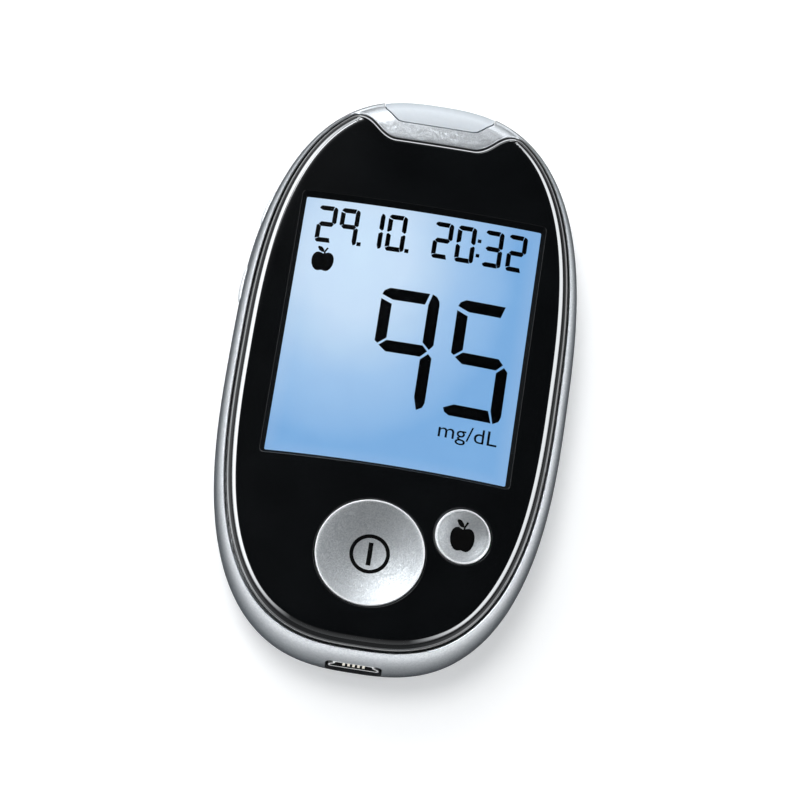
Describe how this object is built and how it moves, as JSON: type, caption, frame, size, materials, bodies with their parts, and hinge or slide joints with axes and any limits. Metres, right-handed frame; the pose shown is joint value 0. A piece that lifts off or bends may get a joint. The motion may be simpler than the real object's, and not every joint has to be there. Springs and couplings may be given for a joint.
{
  "type": "blood glucose meter",
  "caption": "Palm-sized blood glucose meter with a crowned glossy black face, lit display, round press buttons, side buttons, strip port and battery door.",
  "frame": {"origin": "centre of the flat underside, below the middle of the body, with the meter lying on its back", "axes": "+Z out of the display, +Y towards the test strip end, +X to the right as the display is read"},
  "size_m": [0.0526, 0.0909, 0.016],
  "materials": {
    "silver_plastic": "silver metallic lacquer on plastic",
    "rear_plastic": "fine-textured grey plastic",
    "label": "bare label film",
    "gloss_black": "high gloss black",
    "clear_pane": "clear polished pane",
    "display": "pale blue lit display film",
    "diffuser": "milky light guide",
    "white_plastic": "white moulded plastic",
    "amber_film": "amber polymer film",
    "board": "green solder mask",
    "chip": "black epoxy",
    "steel": "plated steel",
    "gold": "gold-plated spring metal",
    "silicone": "soft grey silicone",
    "port_white": "white translucent plastic"
  },
  "bodies": {
    "meter": {"front_housing": "silver_plastic", "rear_housing": "rear_plastic", "blank_label": "label", "faceplate": "gloss_black", "display_window": "clear_pane", "display_panel": "display", "light_guide": "diffuser", "display_holder": "white_plastic", "display_flex": "amber_film", "display_flex_socket": "white_plastic", "backlight_led_left": "white_plastic", "backlight_led_right": "white_plastic", "button_mat": "silicone", "power_snap_dome": "steel", "meal_snap_dome": "steel", "up_switch": "steel", "down_switch": "steel", "main_board": "board", "processor_chip": "chip", "memory_chip": "chip", "clock_crystal": "steel", "buzzer": "chip", "strip_port_insert": "port_white", "strip_socket": "white_plastic", "strip_contact_1": "gold", "strip_contact_2": "gold", "strip_contact_3": "gold", "strip_port_lamp": "white_plastic", "usb_shell": "steel", "usb_tongue": "chip", "coin_cell_left": "steel", "coin_cell_right": "steel", "minus_contact_left": "gold", "minus_contact_right": "gold", "plus_contact_left": "gold", "plus_contact_right": "gold", "housing_screw_1": "steel", "housing_screw_2": "steel", "housing_screw_3": "steel", "housing_screw_4": "steel"},
    "power_button": {"power_button": "silver_plastic"},
    "meal_button": {"meal_button": "silver_plastic"},
    "up_button": {"up_button": "silver_plastic"},
    "down_button": {"down_button": "silver_plastic"},
    "battery_door": {"battery_door": "rear_plastic"}
  },
  "joints": [
    {"name": "power_button_press", "type": "slide", "parent": "meter", "child": "power_button", "axis": [0, 0, -1], "range_m": [0, 0.0005], "stiffness_N_per_m": 2000},
    {"name": "meal_button_press", "type": "slide", "parent": "meter", "child": "meal_button", "axis": [-0.1486, 0, -0.9889], "range_m": [0, 0.0005], "stiffness_N_per_m": 1600},
    {"name": "up_button_press", "type": "slide", "parent": "meter", "child": "up_button", "axis": [1, 0, 0], "range_m": [0, 0.0004], "stiffness_N_per_m": 1500},
    {"name": "down_button_press", "type": "slide", "parent": "meter", "child": "down_button", "axis": [1, 0, 0], "range_m": [0, 0.0004], "stiffness_N_per_m": 1500},
    {"name": "battery_door_hinge", "type": "hinge", "parent": "meter", "child": "battery_door", "pos_m": [0, -0.0014, 0], "axis": [1, 0, 0], "range_deg": [0, 50]}
  ]
}
